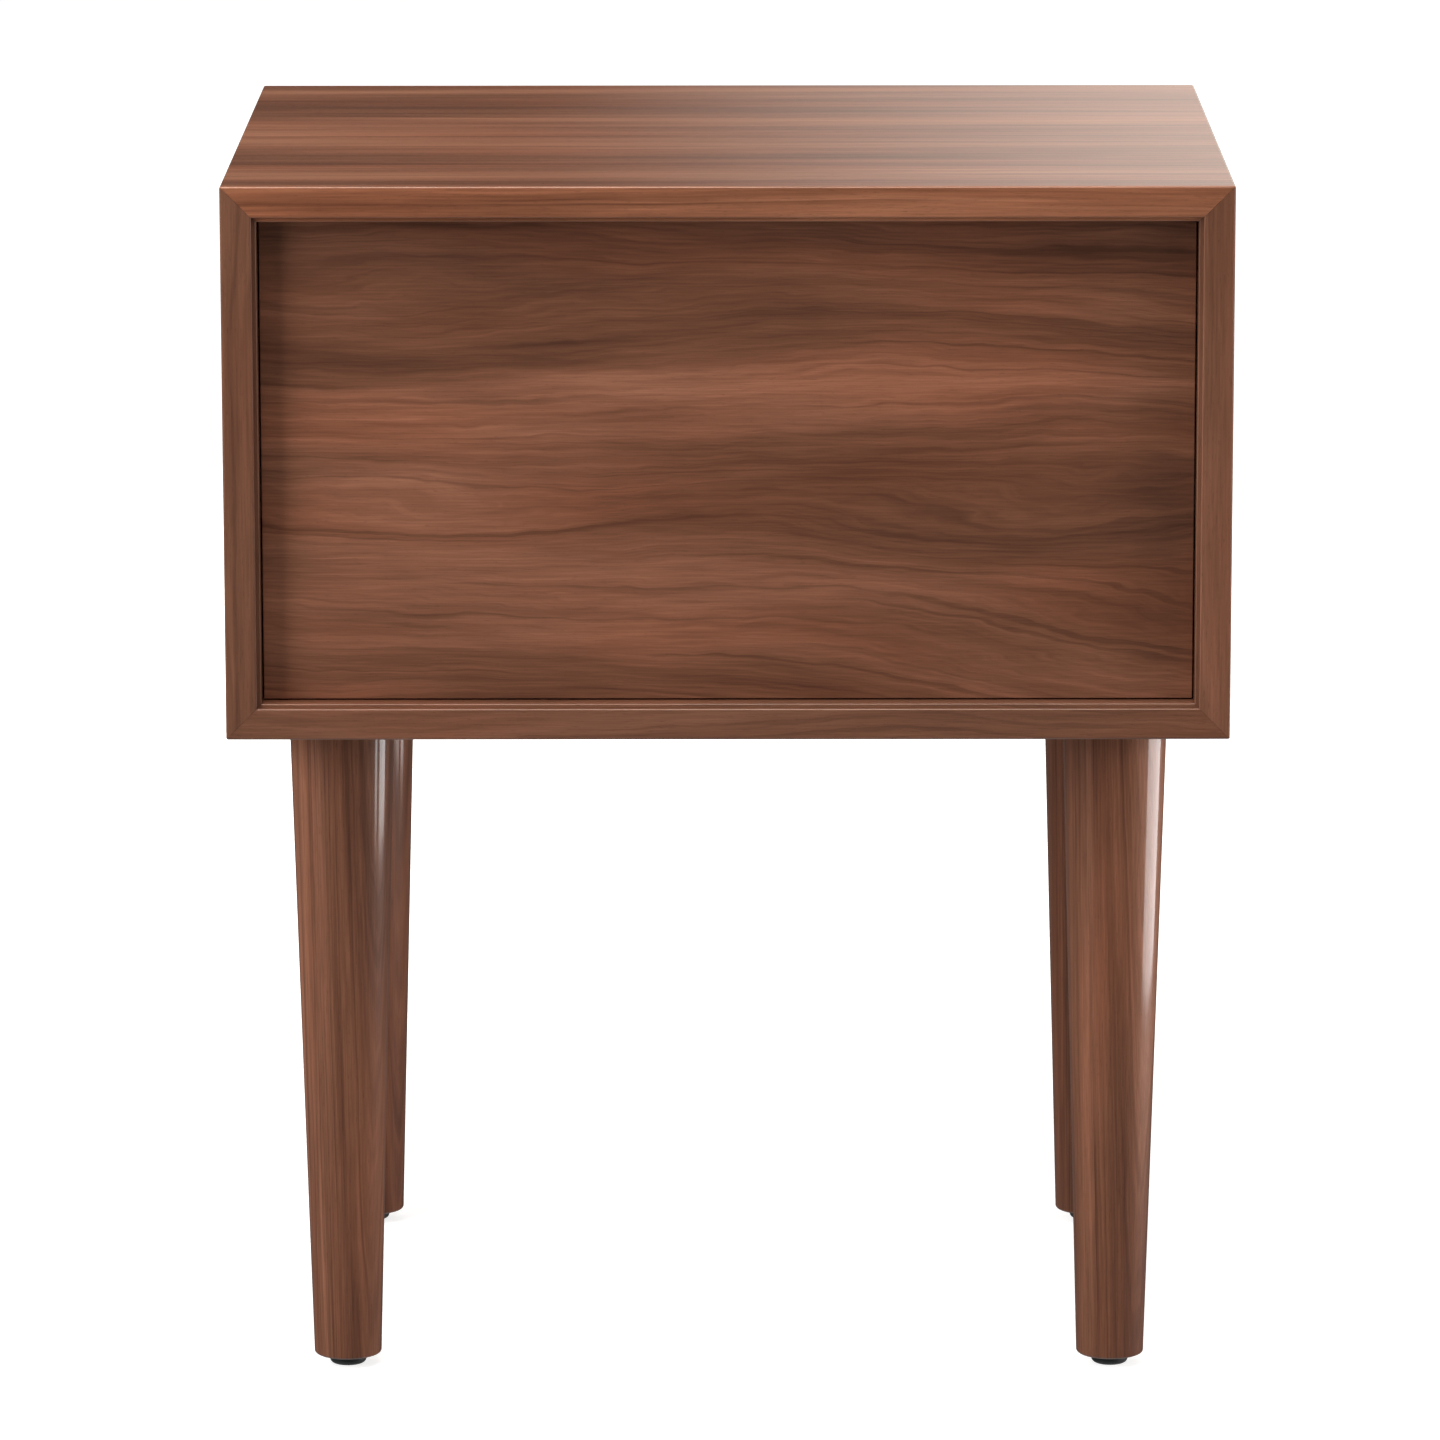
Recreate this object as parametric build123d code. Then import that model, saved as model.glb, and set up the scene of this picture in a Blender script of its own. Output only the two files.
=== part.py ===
from build123d import *
import math
import os

# Side table: a mitred box with one inset push-to-open drawer, on four turned, tapered legs.
# Millimetres, +Z up. The drawer front faces -Y, +X is its right-hand side, and the origin is on
# the floor under the middle of the box.

# ---- the box ----
WIDTH = 508.0
DEPTH = 406.0
BOX_HEIGHT = 282.0
BOARD = 18.0
OUTER_ARRIS = 1.2
INNER_ARRIS = 0.8
STEP_WIDTH = 2.2                # the mouth of the box is stepped back this far from its opening
STEP_DEPTH = 2.4
STEP_ARRIS = 0.6
MITRE_GLUE_LINE = 0.1
SPLINE_THICKNESS = 3.0
SPLINE_WIDTH = 11.0
SPLINE_DISTANCE = 9.0          # from the inner corner, along the mitre
SPLINE_STOP = 20.0             # the splines end this far from the front and rear edges
BACK_THICKNESS = 6.0
BACK_INSET = 2.0
REBATE_DEPTH = 8.0
REBATE_PLAY = 0.4
BACK_SCREWS_ACROSS = (60.0, 196.0)
BACK_SCREWS_UP = 70.0

# ---- the legs ----
LEG_LENGTH = 336.0
LEG_TOP_RADIUS = 26.8
LEG_FOOT_RADIUS = 17.4
LEG_FOOT_ARRIS = 1.6
LEG_INSET = 56.0               # leg axis from each outer face of the box
GLIDE_HEIGHT = 5.5
GLIDE_RADIUS = 9.5
GLIDE_ROUNDING = 2.4
NAIL_HEAD_RADIUS = 3.2
NAIL_HEAD_HEIGHT = 1.2
NAIL_RADIUS = 1.2
NAIL_LENGTH = 20.0
BOLT_RADIUS = 4.0
BOLT_IN_LEG = 38.0
BOLT_CHAMFER = 1.0
INSERT_RADIUS = 6.0
INSERT_LENGTH = 13.0
INSERT_FLANGE_RADIUS = 8.0
INSERT_FLANGE_HEIGHT = 1.2

# ---- the drawer ----
FRONT_BOARD = 16.0
FRONT_GAP = 0.7
FRONT_RECESS = 13.0
FRONT_ARRIS = 0.5
FRONT_SCREWS_ACROSS = 153.0
FRONT_SCREWS_UP = 57.0
DRAWER_BOARD = 12.0
DRAWER_LENGTH = 314.0
DRAWER_HEIGHT = 210.0
DRAWER_GROUND_GAP = 8.0        # between the box floor and the underside of the drawer box
DRAWER_ARRIS = 0.8
DRAWER_BOTTOM = 6.0
DRAWER_BOTTOM_LIFT = 10.0
GROOVE_DEPTH = 5.5
GROOVE_PLAY = 0.3
DOWEL_RADIUS = 3.0
DOWEL_IN_SIDE = 8.0
DOWEL_IN_END = 16.0
DOWEL_HEIGHTS = (35.0, 105.0, 175.0)
PRESS_STROKE = 3.0             # the drawer goes in this far to release the latch

# ---- the telescopic slides, in section: depth from the box wall, height from the slide's middle ----
SLIDE_THICKNESS = 12.7
SLIDE_LENGTH = 300.0
SLIDE_SETBACK = 5.0            # behind the rear face of the drawer front
SHEET = 1.0
OUTER_BALL_RADIUS = 1.6
OUTER_RACE = (6.4, 19.8)
INNER_BALL_RADIUS = 1.4
INNER_RACE = (8.2, 15.4)
RACE_PLAY = 0.15
CABINET_FLANGE = (20.9, 22.75)
CABINET_FLANGE_REACH = 10.2
MIDDLE_FLANGE = (16.5, 18.7)
MIDDLE_WEB_DEPTH = 3.0
MIDDLE_FLANGE_REACH = 10.6
DRAWER_FLANGE = (12.4, 14.3)
DRAWER_FLANGE_START = 5.8
CAGE_SHEET = 0.5
OUTER_CAGE_DEPTHS = (2.2, 9.2)
INNER_CAGE_DEPTHS = (4.3, 11.2)
CAGE_LENGTH = 140.0
BALL_PITCH = 12.0
BALLS_PER_RACE = 11
SLIDE_SCREW_PLACES = (37.0, 150.0, 263.0)
ACCESS_HOLE_RADIUS = 5.0

# ---- the push latch ----
LATCH_HEIGHT = 32.0            # its axis above the box floor
LATCH_RADIUS = 6.0
LATCH_BORE = 4.7
LATCH_WALL = 2.0
LATCH_LENGTH = 45.0
LATCH_BACK_GAP = 0.3
PLUNGER_RADIUS = 4.4
PLUNGER_BORE = 3.2
PLUNGER_NOSE = 4.0
PLUNGER_REAR_GAP = 3.0
TIP_RADIUS = 5.0
TIP_LENGTH = 3.0
TIP_ROUNDING = 0.6
TIP_GAP = PRESS_STROKE + 0.3
STRIKE_RADIUS = 7.5
STRIKE_THICKNESS = 1.5
SPRING_RADIUS = 2.4
SPRING_WIRE = 0.4
SPRING_TURNS = 9
HOLDER_PLATE = (46.0, 30.0, 3.0)
HOLDER_RING = 3.0
HOLDER_RIB = 8.0
HOLDER_FILLET = 1.5
HOLDER_SCREW_OFFSET = 16.0

# ---- fasteners ----
HOLE_PLAY = 0.1
POINT_LENGTH = 3.0
POINT_SHARE = 1 / 6             # of the shank's radius, at the tip
HEAD_ROUNDING_SHARE = 0.6       # of the head's height
RECESS_DEPTH_SHARE = 0.6        # of the head's height
RECESS_REACH_SHARE = 0.6        # of the head's radius
RECESS_WIDTH = 0.9
WOOD_SCREW = {"shank": 1.75, "length": 24.0, "head": 4.0, "head_height": 2.2}
SLIDE_SCREW = {"shank": 1.75, "length": 11.0, "head": 3.8, "head_height": 0.9}
DRAWER_SLIDE_SCREW = {"shank": 1.75, "length": 10.0, "head": 3.8, "head_height": 0.9}
BACK_SCREW = {"shank": 1.5, "length": 15.0, "head": 3.2, "head_height": 1.6}
HOLDER_SCREW = {"shank": 1.5, "length": 12.0, "head": 3.2, "head_height": 1.6}
STRIKE_SCREW = {"shank": 1.5, "length": 9.0, "head": 2.8, "head_height": 1.0}

# ---- places worked out from the sizes above ----
HALF_WIDTH = WIDTH / 2
FRONT_Y = -DEPTH / 2
REAR_Y = DEPTH / 2
BOX_LOW = GLIDE_HEIGHT + LEG_LENGTH
BOX_HIGH = BOX_LOW + BOX_HEIGHT
BOX_MIDDLE = (BOX_LOW + BOX_HIGH) / 2
FLOOR_Z = BOX_LOW + BOARD
CEILING_Z = BOX_HIGH - BOARD
WALL_X = HALF_WIDTH - BOARD
BACK_Y = REAR_Y - BACK_INSET - BACK_THICKNESS
LEG_X = HALF_WIDTH - LEG_INSET
LEG_Y = DEPTH / 2 - LEG_INSET
PANEL_FACE_Y = FRONT_Y + FRONT_RECESS
PANEL_BACK_Y = PANEL_FACE_Y + FRONT_BOARD
DRAWER_X = WALL_X - SLIDE_THICKNESS
DRAWER_INNER_X = DRAWER_X - DRAWER_BOARD
DRAWER_LOW = FLOOR_Z + DRAWER_GROUND_GAP
DRAWER_HIGH = DRAWER_LOW + DRAWER_HEIGHT
DRAWER_REAR_Y = PANEL_BACK_Y + DRAWER_LENGTH
DRAWER_BOTTOM_Z = DRAWER_LOW + DRAWER_BOTTOM_LIFT
SLIDE_Z = (DRAWER_LOW + DRAWER_HIGH) / 2
SLIDE_FRONT_Y = PANEL_BACK_Y + SLIDE_SETBACK
SLIDE_REAR_Y = SLIDE_FRONT_Y + SLIDE_LENGTH
SLIDE_MIDDLE_Y = (SLIDE_FRONT_Y + SLIDE_REAR_Y) / 2
LATCH_Z = FLOOR_Z + LATCH_HEIGHT
LATCH_REAR_Y = BACK_Y - LATCH_BACK_GAP
LATCH_FRONT_Y = LATCH_REAR_Y - LATCH_LENGTH
STRIKE_FACE_Y = DRAWER_REAR_Y + STRIKE_THICKNESS
TIP_FACE_Y = STRIKE_FACE_Y + TIP_GAP
PLUNGER_FRONT_Y = TIP_FACE_Y + TIP_LENGTH
PLUNGER_REAR_Y = LATCH_REAR_Y - LATCH_WALL - PLUNGER_REAR_GAP

UP = (0, 0, 1)
DOWN = (0, 0, -1)
FORWARD = (0, -1, 0)
BACKWARD = (0, 1, 0)
FROM_BASE = (Align.CENTER, Align.CENTER, Align.MIN)


# ---- building blocks ----
def block(x_from, x_to, y_from, y_to, z_from, z_to):
    """Box between two opposite corners."""
    centre = ((x_from + x_to) / 2, (y_from + y_to) / 2, (z_from + z_to) / 2)
    return Pos(*centre) * Box(x_to - x_from, y_to - y_from, z_to - z_from)


def along(shape, start, direction):
    """The shape with its own Z axis turned to direction, moved to start."""
    return Plane(origin=start, z_dir=direction) * shape


def rod(radius, length, start, direction):
    """Round bar that begins at start and runs along direction."""
    return along(Cylinder(radius, length, align=FROM_BASE), start, direction)


def screw(sizes, start, direction):
    """Pan-head wood screw: the head's underside is at start, the shank runs along direction."""
    shank, length, head = sizes["shank"], sizes["length"], sizes["head"]
    head_height = sizes["head_height"]
    body = Cylinder(shank, length - POINT_LENGTH, align=FROM_BASE)
    point = Cone(shank, shank * POINT_SHARE, POINT_LENGTH, align=FROM_BASE)
    body += Pos(0, 0, length - POINT_LENGTH) * point
    cap = Pos(0, 0, -head_height) * Cylinder(head, head_height, align=FROM_BASE)
    cap = fillet(cap.edges().sort_by(Axis.Z)[0], head_height * HEAD_ROUNDING_SHARE)
    reach = head * RECESS_REACH_SHARE
    arm = block(-reach, reach, -RECESS_WIDTH / 2, RECESS_WIDTH / 2,
                -head_height, -head_height * (1 - RECESS_DEPTH_SHARE))
    cap -= arm
    cap -= Rot(0, 0, 90) * arm
    return along(body + cap, start, direction)


def screw_hole(sizes, start, direction):
    """Hole that clears the screw's shank."""
    return rod(sizes["shank"] + HOLE_PLAY, sizes["length"] + HOLE_PLAY, start, direction)


def group(solids):
    """Separate solids kept together in one node."""
    return Compound(children=list(solids))


def mirrored(shape):
    """The same piece for the other side of the table."""
    return mirror(shape, about=Plane.YZ)


# ---- the mitred box ----
def frame_face(shell, y):
    """The flat face of the shell that goes round the opening at the given place."""
    return min(shell.faces().filter_by(Axis.Y), key=lambda face: abs(face.center().Y - y))


def widened_opening(widening, y_from, y_to):
    """Block as large as the opening of the box, widened all round."""
    reach = WALL_X + widening
    return block(-reach, reach, y_from, y_to, FLOOR_Z - widening, CEILING_Z + widening)


def box_shell():
    """The four boards as one tube, with a stepped mouth and the rebate for the back panel."""
    shell = fillet(block(-HALF_WIDTH, HALF_WIDTH, FRONT_Y, REAR_Y, BOX_LOW, BOX_HIGH).edges(), OUTER_ARRIS)
    shell -= widened_opening(0, FRONT_Y, REAR_Y)
    shell -= widened_opening(STEP_WIDTH, FRONT_Y, FRONT_Y + STEP_DEPTH)
    shell = fillet(frame_face(shell, FRONT_Y).inner_wires()[0].edges(), INNER_ARRIS)
    shell = fillet(frame_face(shell, FRONT_Y + STEP_DEPTH).inner_wires()[0].edges(), STEP_ARRIS)
    return shell - widened_opening(REBATE_DEPTH, BACK_Y, REAR_Y)


def mitre_prism(half_length, half_height, turn):
    """Prism with mitred ends that holds one board: the top one, or the one that turn brings there."""
    outer = BOARD - MITRE_GLUE_LINE / math.sqrt(2)
    inner = BOARD + SPLINE_WIDTH
    outline = Polygon(
        (-half_length - outer, half_height + BOARD),
        (half_length + outer, half_height + BOARD),
        (half_length - inner - BOARD + outer, half_height - inner),
        (-half_length + inner + BOARD - outer, half_height - inner),
        align=None)
    prism = extrude(Plane.XZ * outline, amount=DEPTH, both=True)
    return Pos(0, 0, BOX_MIDDLE) * Rot(0, turn, 0) * prism


def mitre_splines():
    """Four plywood strips glued across the mitres."""
    splines = []
    step = SPLINE_DISTANCE / math.sqrt(2)
    length = DEPTH - 2 * SPLINE_STOP
    for side in (-1, 1):
        for level in (-1, 1):
            x = side * (WALL_X + step)
            z = BOX_MIDDLE + level * (BOX_HEIGHT / 2 - BOARD + step)
            strip = Box(SPLINE_WIDTH, length, SPLINE_THICKNESS)
            splines.append(Pos(x, 0, z) * Rot(0, side * level * 45, 0) * strip)
    return splines


def slide_screw_starts():
    """Heights and places of the screws along a slide."""
    return [(SLIDE_FRONT_Y + place, SLIDE_Z) for place in SLIDE_SCREW_PLACES]


def holder_screw_starts():
    """Undersides of the heads of the two latch screws."""
    y = (LATCH_FRONT_Y + LATCH_REAR_Y) / 2
    return [(side * HOLDER_SCREW_OFFSET, y, FLOOR_Z + HOLDER_PLATE[2]) for side in (-1, 1)]


def back_screw_places():
    """Places of the screws round the edge of the back panel, in X and Z."""
    x = WALL_X + REBATE_DEPTH / 2
    low = FLOOR_Z - REBATE_DEPTH / 2
    high = CEILING_Z + REBATE_DEPTH / 2
    across = [(side * place, z) for z in (low, high) for side in (-1, 1) for place in BACK_SCREWS_ACROSS]
    upright = [(side * x, BOX_MIDDLE + level * BACK_SCREWS_UP) for side in (-1, 1) for level in (-1, 1)]
    return across + upright


def leg_places():
    """Name and place of each leg."""
    return {
        "front_left": (-LEG_X, -LEG_Y),
        "front_right": (LEG_X, -LEG_Y),
        "rear_left": (-LEG_X, LEG_Y),
        "rear_right": (LEG_X, LEG_Y),
    }


def boards():
    """Top, bottom and side boards, mitred to each other."""
    shell = box_shell()
    for spline in mitre_splines():
        shell -= spline
    for x, z in back_screw_places():
        shell -= screw_hole(BACK_SCREW, (x, REAR_Y - BACK_INSET, z), FORWARD)
    half_height = BOX_HEIGHT / 2
    top = shell & mitre_prism(HALF_WIDTH, half_height, 0)
    bottom = shell & mitre_prism(HALF_WIDTH, half_height, 180)
    right = shell & mitre_prism(half_height, HALF_WIDTH, 90)
    for x, y in leg_places().values():
        bottom -= rod(INSERT_RADIUS, INSERT_LENGTH, (x, y, BOX_LOW), UP)
        bottom -= rod(INSERT_FLANGE_RADIUS, INSERT_FLANGE_HEIGHT, (x, y, BOX_LOW), UP)
    for start in holder_screw_starts():
        bottom -= screw_hole(HOLDER_SCREW, start, DOWN)
    for y, z in slide_screw_starts():
        right -= screw_hole(SLIDE_SCREW, (WALL_X - SHEET, y, z), (1, 0, 0))
    return {
        "top_panel": top,
        "bottom_panel": bottom,
        "right_side_panel": right,
        "left_side_panel": mirrored(right),
    }


def back_panel():
    """Veneered board that closes the back, screwed into the rebate."""
    x = WALL_X + REBATE_DEPTH - REBATE_PLAY
    lift = REBATE_DEPTH - REBATE_PLAY
    panel = block(-x, x, BACK_Y, BACK_Y + BACK_THICKNESS, FLOOR_Z - lift, CEILING_Z + lift)
    for hole_x, hole_z in back_screw_places():
        panel -= screw_hole(BACK_SCREW, (hole_x, REAR_Y - BACK_INSET, hole_z), FORWARD)
    return panel


def back_panel_screws():
    """Screws of the back panel."""
    return [screw(BACK_SCREW, (x, REAR_Y - BACK_INSET, z), FORWARD) for x, z in back_screw_places()]


# ---- the legs ----
def leg(x, y):
    """Turned leg, tapered from the box down to the glide."""
    body = Cone(LEG_FOOT_RADIUS, LEG_TOP_RADIUS, LEG_LENGTH, align=FROM_BASE)
    body = fillet(body.edges().sort_by(Axis.Z)[0], LEG_FOOT_ARRIS)
    body = Pos(x, y, GLIDE_HEIGHT) * body
    body -= rod(BOLT_RADIUS + HOLE_PLAY, BOLT_IN_LEG + HOLE_PLAY, (x, y, BOX_LOW), DOWN)
    body -= rod(NAIL_RADIUS + HOLE_PLAY, NAIL_LENGTH, (x, y, GLIDE_HEIGHT), UP)
    return body


def hanger_bolt(x, y):
    """Stud that is screwed into the leg and into the insert nut of the box."""
    length = BOLT_IN_LEG + INSERT_LENGTH - HOLE_PLAY
    stud = rod(BOLT_RADIUS, length, (x, y, BOX_LOW - BOLT_IN_LEG), UP)
    return chamfer(stud.edges().filter_by(GeomType.CIRCLE), BOLT_CHAMFER)


def insert_nut(x, y):
    """Flanged nut set in the underside of the box."""
    nut = rod(INSERT_RADIUS, INSERT_LENGTH, (x, y, BOX_LOW), UP)
    nut += rod(INSERT_FLANGE_RADIUS, INSERT_FLANGE_HEIGHT, (x, y, BOX_LOW), UP)
    return nut - rod(BOLT_RADIUS + HOLE_PLAY, INSERT_LENGTH, (x, y, BOX_LOW), UP)


def glide(x, y):
    """Round nail-on glide under a leg."""
    body = rod(GLIDE_RADIUS, GLIDE_HEIGHT, (x, y, 0), UP)
    body = fillet(body.edges().filter_by(GeomType.CIRCLE).sort_by(Axis.Z)[0], GLIDE_ROUNDING)
    body -= rod(NAIL_HEAD_RADIUS, 2 * NAIL_HEAD_HEIGHT, (x, y, 0), UP)
    return body - rod(NAIL_RADIUS + HOLE_PLAY, GLIDE_HEIGHT, (x, y, 0), UP)


def glide_nail(x, y):
    """Nail of a glide, with its head sunk in the glide's face."""
    nail = rod(NAIL_HEAD_RADIUS - HOLE_PLAY, NAIL_HEAD_HEIGHT, (x, y, NAIL_HEAD_HEIGHT), UP)
    return nail + rod(NAIL_RADIUS, NAIL_LENGTH, (x, y, NAIL_HEAD_HEIGHT), UP)


# ---- the drawer ----
def strike_screw_start():
    """Underside of the head of the strike plate's screw, which lies flush in the disc."""
    return (0, STRIKE_FACE_Y - STRIKE_SCREW["head_height"], LATCH_Z)


def front_screw_starts():
    """Undersides of the heads of the screws that hold the drawer front."""
    y = PANEL_BACK_Y + DRAWER_BOARD
    return [(side * FRONT_SCREWS_ACROSS, y, SLIDE_Z + level * FRONT_SCREWS_UP)
            for side in (-1, 1) for level in (-1, 1)]


def drawer_front():
    """Inset panel that fills the mouth of the box."""
    x = WALL_X - FRONT_GAP
    panel = block(-x, x, PANEL_FACE_Y, PANEL_BACK_Y, FLOOR_Z + FRONT_GAP, CEILING_Z - FRONT_GAP)
    panel = fillet(panel.edges(), FRONT_ARRIS)
    for start in front_screw_starts():
        panel -= screw_hole(WOOD_SCREW, start, FORWARD)
    return panel


def drawer_groove():
    """Space of the drawer bottom in the four boards round it."""
    x = DRAWER_INNER_X + GROOVE_DEPTH
    y_from = PANEL_BACK_Y + DRAWER_BOARD - GROOVE_DEPTH
    y_to = DRAWER_REAR_Y - DRAWER_BOARD + GROOVE_DEPTH
    return block(-x, x, y_from, y_to, DRAWER_BOTTOM_Z, DRAWER_BOTTOM_Z + DRAWER_BOTTOM)


def drawer_bottom():
    """Plywood sheet that lies in the grooves."""
    x = DRAWER_INNER_X + GROOVE_DEPTH - GROOVE_PLAY
    y_from = PANEL_BACK_Y + DRAWER_BOARD - GROOVE_DEPTH + GROOVE_PLAY
    y_to = DRAWER_REAR_Y - DRAWER_BOARD + GROOVE_DEPTH - GROOVE_PLAY
    return block(-x, x, y_from, y_to, DRAWER_BOTTOM_Z, DRAWER_BOTTOM_Z + DRAWER_BOTTOM)


def drawer_dowels():
    """Glued dowels between the drawer's sides and its ends."""
    dowels = []
    for side in (-1, 1):
        start_x = side * (DRAWER_INNER_X + DOWEL_IN_SIDE)
        for y in (PANEL_BACK_Y + DRAWER_BOARD / 2, DRAWER_REAR_Y - DRAWER_BOARD / 2):
            for height in DOWEL_HEIGHTS:
                start = (start_x, y, DRAWER_LOW + height)
                dowels.append(rod(DOWEL_RADIUS, DOWEL_IN_SIDE + DOWEL_IN_END, start, (-side, 0, 0)))
    return dowels


def drawer_boards():
    """Sides, front end, back end and bottom of the drawer box."""
    side = block(DRAWER_INNER_X, DRAWER_X, PANEL_BACK_Y, DRAWER_REAR_Y, DRAWER_LOW, DRAWER_HIGH)
    front_end = block(-DRAWER_INNER_X, DRAWER_INNER_X, PANEL_BACK_Y, PANEL_BACK_Y + DRAWER_BOARD,
                      DRAWER_LOW, DRAWER_HIGH)
    back_end = block(-DRAWER_INNER_X, DRAWER_INNER_X, DRAWER_REAR_Y - DRAWER_BOARD, DRAWER_REAR_Y,
                     DRAWER_LOW, DRAWER_HIGH)
    side = fillet(side.edges().filter_by(Axis.Y), DRAWER_ARRIS)
    front_end = fillet(front_end.edges().filter_by(Axis.X).group_by(Axis.Z)[-1], DRAWER_ARRIS)
    back_end = fillet(back_end.edges().filter_by(Axis.X).group_by(Axis.Z)[-1], DRAWER_ARRIS)
    cuts = [drawer_groove()] + drawer_dowels()
    for cut in cuts:
        side -= cut
        front_end -= cut
        back_end -= cut
    for y, z in slide_screw_starts():
        side -= screw_hole(DRAWER_SLIDE_SCREW, (DRAWER_X + SHEET, y, z), (-1, 0, 0))
    for start in front_screw_starts():
        front_end -= screw_hole(WOOD_SCREW, start, FORWARD)
    back_end -= screw_hole(STRIKE_SCREW, strike_screw_start(), FORWARD)
    return {
        "drawer_right_side": side,
        "drawer_left_side": mirrored(side),
        "drawer_box_front": front_end,
        "drawer_box_back": back_end,
        "drawer_bottom": drawer_bottom(),
    }


# ---- the telescopic slides, built for the right-hand side ----
def slide_block(depths, heights, y_from, y_to):
    """Block given by its depths from the box wall and its heights from the slide's middle."""
    return block(WALL_X - depths[1], WALL_X - depths[0], y_from, y_to,
                 SLIDE_Z + heights[0], SLIDE_Z + heights[1])


def channel(web, flange_depths, flange, y_from, y_to):
    """Sheet channel: a web and two flanges, each given by depths and heights."""
    body = slide_block(web, (-flange[1], flange[1]), y_from, y_to)
    body += slide_block(flange_depths, flange, y_from, y_to)
    return body + slide_block(flange_depths, (-flange[1], -flange[0]), y_from, y_to)


def races(race, ball_radius):
    """The round grooves in which the balls run, above and below."""
    depth, height = race
    radius = ball_radius + RACE_PLAY
    start_y = SLIDE_FRONT_Y - SLIDE_SETBACK
    length = SLIDE_LENGTH + 2 * SLIDE_SETBACK
    grooves = []
    for level in (-1, 1):
        start = (WALL_X - depth, start_y, SLIDE_Z + level * height)
        grooves.append(rod(radius, length, start, BACKWARD))
    return grooves


def slide_holes(radius, depths):
    """Holes through a web at the screws."""
    length = depths[1] - depths[0]
    return [rod(radius, length, (WALL_X - depths[1], y, z), (1, 0, 0)) for y, z in slide_screw_starts()]


def cabinet_member():
    """Outer channel, screwed to the side of the box."""
    web = (0, SHEET)
    body = channel(web, (0, CABINET_FLANGE_REACH), CABINET_FLANGE, SLIDE_FRONT_Y, SLIDE_REAR_Y)
    for cut in races(OUTER_RACE, OUTER_BALL_RADIUS) + slide_holes(SLIDE_SCREW["shank"] + HOLE_PLAY, web):
        body -= cut
    return body


def middle_member():
    """Middle channel, which runs between the other two, with access holes for the screws."""
    web = (MIDDLE_WEB_DEPTH, MIDDLE_WEB_DEPTH + SHEET)
    body = channel(web, (MIDDLE_WEB_DEPTH, MIDDLE_FLANGE_REACH), MIDDLE_FLANGE, SLIDE_FRONT_Y, SLIDE_REAR_Y)
    cuts = races(OUTER_RACE, OUTER_BALL_RADIUS) + races(INNER_RACE, INNER_BALL_RADIUS)
    for cut in cuts + slide_holes(ACCESS_HOLE_RADIUS, web):
        body -= cut
    return body


def drawer_member():
    """Inner channel, screwed to the side of the drawer."""
    web = (SLIDE_THICKNESS - SHEET, SLIDE_THICKNESS)
    body = channel(web, (DRAWER_FLANGE_START, SLIDE_THICKNESS), DRAWER_FLANGE, SLIDE_FRONT_Y, SLIDE_REAR_Y)
    for cut in races(INNER_RACE, INNER_BALL_RADIUS) + slide_holes(SLIDE_SCREW["shank"] + HOLE_PLAY, web):
        body -= cut
    return body


def ball_centres(race):
    """Centres of the balls of one cage."""
    depth, height = race
    first = SLIDE_MIDDLE_Y - BALL_PITCH * (BALLS_PER_RACE - 1) / 2
    return [(WALL_X - depth, first + BALL_PITCH * index, SLIDE_Z + level * height)
            for level in (-1, 1) for index in range(BALLS_PER_RACE)]


def balls(race, ball_radius):
    """The balls of one cage."""
    return [Pos(*centre) * Sphere(ball_radius) for centre in ball_centres(race)]


def ball_cage(race, ball_radius, depths):
    """Folded strip that keeps the balls apart."""
    height = race[1] + CAGE_SHEET / 2
    y_from = SLIDE_MIDDLE_Y - CAGE_LENGTH / 2
    body = channel((depths[0], depths[0] + CAGE_SHEET), depths, (height - CAGE_SHEET, height),
                   y_from, y_from + CAGE_LENGTH)
    for x, y, z in ball_centres(race):
        body -= rod(ball_radius + HOLE_PLAY, 4 * CAGE_SHEET, (x, y, z - 2 * CAGE_SHEET), UP)
    return body


def slide_parts():
    """The nodes of both slides."""
    right = {
        "slide_cabinet_member": cabinet_member(),
        "slide_middle_member": middle_member(),
        "slide_drawer_member": drawer_member(),
        "outer_ball_cage": ball_cage(OUTER_RACE, OUTER_BALL_RADIUS, OUTER_CAGE_DEPTHS),
        "inner_ball_cage": ball_cage(INNER_RACE, INNER_BALL_RADIUS, INNER_CAGE_DEPTHS),
        "outer_balls": group(balls(OUTER_RACE, OUTER_BALL_RADIUS)),
        "inner_balls": group(balls(INNER_RACE, INNER_BALL_RADIUS)),
    }
    nodes = {"right_" + name: shape for name, shape in right.items()}
    nodes.update({"left_" + name: mirrored(shape) for name, shape in right.items()})
    return nodes


def slide_screws(sizes, head_x, outward):
    """Screws of one row of slide holes, on both sides of the table."""
    solids = []
    for y, z in slide_screw_starts():
        for side in (-1, 1):
            solids.append(screw(sizes, (side * head_x, y, z), (side * outward, 0, 0)))
    return solids


# ---- the push latch ----
def latch_housing():
    """Tube with a closed rear end."""
    tube = rod(LATCH_RADIUS, LATCH_LENGTH, (0, LATCH_REAR_Y, LATCH_Z), FORWARD)
    bore_start = (0, LATCH_REAR_Y - LATCH_WALL, LATCH_Z)
    return tube - rod(LATCH_BORE, LATCH_LENGTH, bore_start, FORWARD)


def latch_plunger():
    """Hollow pin that pushes the drawer out."""
    length = PLUNGER_REAR_Y - PLUNGER_FRONT_Y
    pin = rod(PLUNGER_RADIUS, length, (0, PLUNGER_REAR_Y, LATCH_Z), FORWARD)
    return pin - rod(PLUNGER_BORE, length - PLUNGER_NOSE, (0, PLUNGER_REAR_Y, LATCH_Z), FORWARD)


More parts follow.
